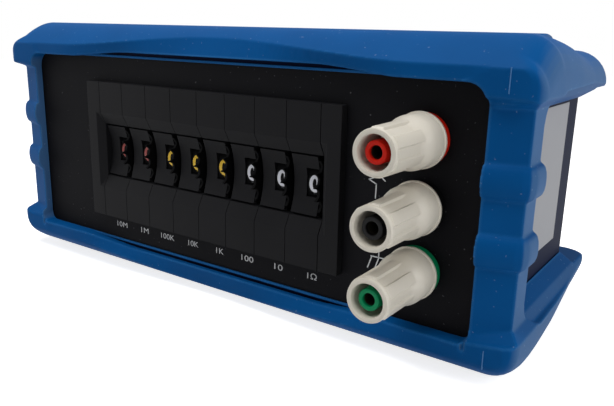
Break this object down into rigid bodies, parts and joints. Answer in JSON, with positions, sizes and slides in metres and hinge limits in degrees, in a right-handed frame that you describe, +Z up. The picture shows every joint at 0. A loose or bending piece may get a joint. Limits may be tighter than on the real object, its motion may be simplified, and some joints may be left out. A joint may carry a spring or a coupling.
{
  "type": "decade resistance box",
  "caption": "Bench resistance box with a row of thumbwheel decades, turning binding posts and a rubber boot round its case.",
  "frame": {"origin": "middle of the overall box, on the surface that the boot rests on", "axes": "+X to the user's right along the panel, +Y from the panel to the rear, +Z up"},
  "size_m": [0.2198, 0.1152, 0.0952],
  "materials": {
    "boot_rubber": "blue moulded rubber with a soft satin sheen",
    "case_plastic": "deep blue moulded plastic, fine texture",
    "panel_plastic": "black satin panel, fine texture",
    "switch_plastic": "black satin moulding",
    "wheel_plastic": "black moulding with a slight shine",
    "steel": "zinc plated",
    "brass": "turned and plated",
    "board_laminate": "glass epoxy laminate with solder mask",
    "cap_plastic": "ivory moulding, semi gloss",
    "bush_plastic": "black nylon",
    "red_plastic": "red moulding",
    "black_plastic": "black moulding",
    "green_plastic": "green moulding"
  },
  "bodies": {
    "root": {"rubber_boot": "boot_rubber", "case_shell": "case_plastic", "front_panel": "panel_plastic", "panel_screw_1": "steel", "panel_screw_2": "steel", "panel_screw_3": "steel", "panel_screw_4": "steel", "switch_housing_1": "switch_plastic", "switch_housing_2": "switch_plastic", "switch_housing_3": "switch_plastic", "switch_housing_4": "switch_plastic", "switch_housing_5": "switch_plastic", "switch_housing_6": "switch_plastic", "switch_housing_7": "switch_plastic", "switch_housing_8": "switch_plastic", "decade_board_1": "board_laminate", "decade_board_2": "board_laminate", "decade_board_3": "board_laminate", "decade_board_4": "board_laminate", "decade_board_5": "board_laminate", "decade_board_6": "board_laminate", "decade_board_7": "board_laminate", "decade_board_8": "board_laminate", "end_cheek_left": "switch_plastic", "end_cheek_right": "switch_plastic", "tie_rod_upper": "steel", "tie_rod_lower": "steel", "tie_rod_nut_upper": "steel", "tie_rod_nut_lower": "steel", "red_post_body": "red_plastic", "red_post_socket": "brass", "red_post_bush": "bush_plastic", "red_post_nut": "steel", "black_post_body": "black_plastic", "black_post_socket": "brass", "black_post_bush": "bush_plastic", "black_post_nut": "steel", "green_post_body": "green_plastic", "green_post_socket": "brass", "green_post_bush": "bush_plastic", "green_post_nut": "steel", "red_lead": "red_plastic", "black_lead": "black_plastic"},
    "thumbwheel_1": {"thumbwheel_1": "wheel_plastic"},
    "thumbwheel_2": {"thumbwheel_2": "wheel_plastic"},
    "thumbwheel_3": {"thumbwheel_3": "wheel_plastic"},
    "thumbwheel_4": {"thumbwheel_4": "wheel_plastic"},
    "thumbwheel_5": {"thumbwheel_5": "wheel_plastic"},
    "thumbwheel_6": {"thumbwheel_6": "wheel_plastic"},
    "thumbwheel_7": {"thumbwheel_7": "wheel_plastic"},
    "thumbwheel_8": {"thumbwheel_8": "wheel_plastic"},
    "red_washer": {"red_thrust_washer": "steel"},
    "red_cap": {"red_post_cap": "cap_plastic"},
    "black_washer": {"black_thrust_washer": "steel"},
    "black_cap": {"black_post_cap": "cap_plastic"},
    "green_washer": {"green_thrust_washer": "steel"},
    "green_cap": {"green_post_cap": "cap_plastic"}
  },
  "joints": [
    {"name": "wheel_1_turn", "type": "hinge", "parent": "root", "child": "thumbwheel_1", "pos_m": [-0.0481, -0.0175, 0.0476], "axis": [1, 0, 0], "continuous": true},
    {"name": "wheel_2_turn", "type": "hinge", "parent": "root", "child": "thumbwheel_2", "pos_m": [-0.0354, -0.0175, 0.0476], "axis": [1, 0, 0], "continuous": true},
    {"name": "wheel_3_turn", "type": "hinge", "parent": "root", "child": "thumbwheel_3", "pos_m": [-0.0227, -0.0175, 0.0476], "axis": [1, 0, 0], "continuous": true},
    {"name": "wheel_4_turn", "type": "hinge", "parent": "root", "child": "thumbwheel_4", "pos_m": [-0.01, -0.0175, 0.0476], "axis": [1, 0, 0], "continuous": true},
    {"name": "wheel_5_turn", "type": "hinge", "parent": "root", "child": "thumbwheel_5", "pos_m": [0.0027, -0.0175, 0.0476], "axis": [1, 0, 0], "continuous": true},
    {"name": "wheel_6_turn", "type": "hinge", "parent": "root", "child": "thumbwheel_6", "pos_m": [0.0154, -0.0175, 0.0476], "axis": [1, 0, 0], "continuous": true},
    {"name": "wheel_7_turn", "type": "hinge", "parent": "root", "child": "thumbwheel_7", "pos_m": [0.0281, -0.0175, 0.0476], "axis": [1, 0, 0], "continuous": true},
    {"name": "wheel_8_turn", "type": "hinge", "parent": "root", "child": "thumbwheel_8", "pos_m": [0.0408, -0.0175, 0.0476], "axis": [1, 0, 0], "continuous": true},
    {"name": "red_clamp_slide", "type": "slide", "parent": "root", "child": "red_washer", "axis": [0, -1, 0], "range_m": [0, 0.004]},
    {"name": "red_cap_turn", "type": "hinge", "parent": "red_washer", "child": "red_cap", "pos_m": [0.0778, -0.0289, 0.06665], "axis": [0, -1, 0], "range_deg": [0, 1800]},
    {"name": "black_clamp_slide", "type": "slide", "parent": "root", "child": "black_washer", "axis": [0, -1, 0], "range_m": [0, 0.004]},
    {"name": "black_cap_turn", "type": "hinge", "parent": "black_washer", "child": "black_cap", "pos_m": [0.0778, -0.0289, 0.0476], "axis": [0, -1, 0], "range_deg": [0, 1800]},
    {"name": "green_clamp_slide", "type": "slide", "parent": "root", "child": "green_washer", "axis": [0, -1, 0], "range_m": [0, 0.004]},
    {"name": "green_cap_turn", "type": "hinge", "parent": "green_washer", "child": "green_cap", "pos_m": [0.0778, -0.0289, 0.02855], "axis": [0, -1, 0], "range_deg": [0, 1800]}
  ],
  "couplings": [
    {"joint": "red_cap_turn", "follows": "red_clamp_slide", "rad_per_m": 7854},
    {"joint": "black_cap_turn", "follows": "black_clamp_slide", "rad_per_m": 7854},
    {"joint": "green_cap_turn", "follows": "green_clamp_slide", "rad_per_m": 7854}
  ]
}
